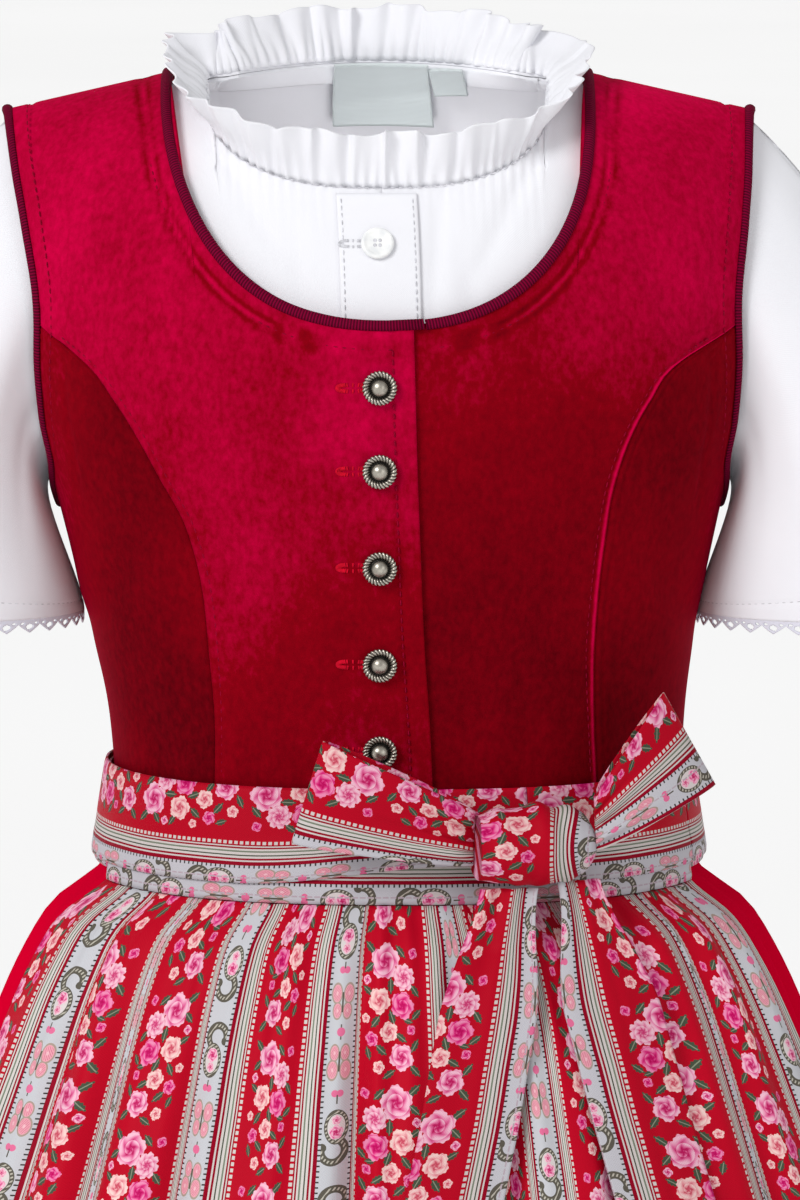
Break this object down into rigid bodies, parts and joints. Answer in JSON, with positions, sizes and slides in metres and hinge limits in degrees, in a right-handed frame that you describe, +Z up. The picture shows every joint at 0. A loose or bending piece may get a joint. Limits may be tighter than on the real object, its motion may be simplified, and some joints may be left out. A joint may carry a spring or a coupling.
{
  "type": "dirndl with blouse and apron",
  "caption": "Child's dirndl set with no wearer: white frilled blouse, sleeveless velvet bodice, gathered satin skirt, striped floral apron tied in a front bow",
  "frame": {"origin": "between the shoulders, level with the inner ends of the bodice's straps", "axes": "+Z up, -Y to the front, +X to the wearer's left"},
  "size_m": [0.5038, 0.4205, 0.6834],
  "materials": {
    "blouse_cotton": "matt woven cotton",
    "lace": "woven lace edging",
    "pearl_button": "pearl",
    "label": "blank woven satin",
    "velvet": "crimson velvet",
    "binding": "grosgrain ribbon",
    "metal_button": "old silver",
    "skirt_satin": "red satin",
    "apron_print": "printed satin, stripes and flowers"
  },
  "bodies": {
    "root": {"blouse_front_right": "blouse_cotton", "blouse_front_left": "blouse_cotton", "blouse_back": "blouse_cotton", "blouse_placket": "blouse_cotton", "blouse_neckband": "blouse_cotton", "blouse_frill_collar": "blouse_cotton", "blouse_sleeve_right": "blouse_cotton", "blouse_sleeve_left": "blouse_cotton", "sleeve_lace_right": "lace", "sleeve_lace_left": "lace", "blouse_button": "pearl_button", "neck_label": "label", "size_tab": "label", "bodice_centre_front_right": "velvet", "bodice_centre_front_left": "velvet", "bodice_side_front_right": "velvet", "bodice_side_front_left": "velvet", "bodice_side_back_right": "velvet", "bodice_side_back_left": "velvet", "bodice_centre_back": "velvet", "neck_binding": "binding", "armhole_binding_right": "binding", "armhole_binding_left": "binding", "button_1": "metal_button", "button_2": "metal_button", "button_3": "metal_button", "button_4": "metal_button", "button_5": "metal_button", "skirt_front": "skirt_satin", "skirt_back": "skirt_satin", "apron_panel": "apron_print", "apron_waistband": "apron_print", "tie_round_back": "apron_print", "tie_over_back_and_front": "apron_print", "tie_front_left": "apron_print", "bow_knot": "apron_print", "bow_loop_right": "apron_print", "bow_loop_left": "apron_print", "bow_tail_right": "apron_print", "bow_tail_left": "apron_print"}
  },
  "joints": []
}
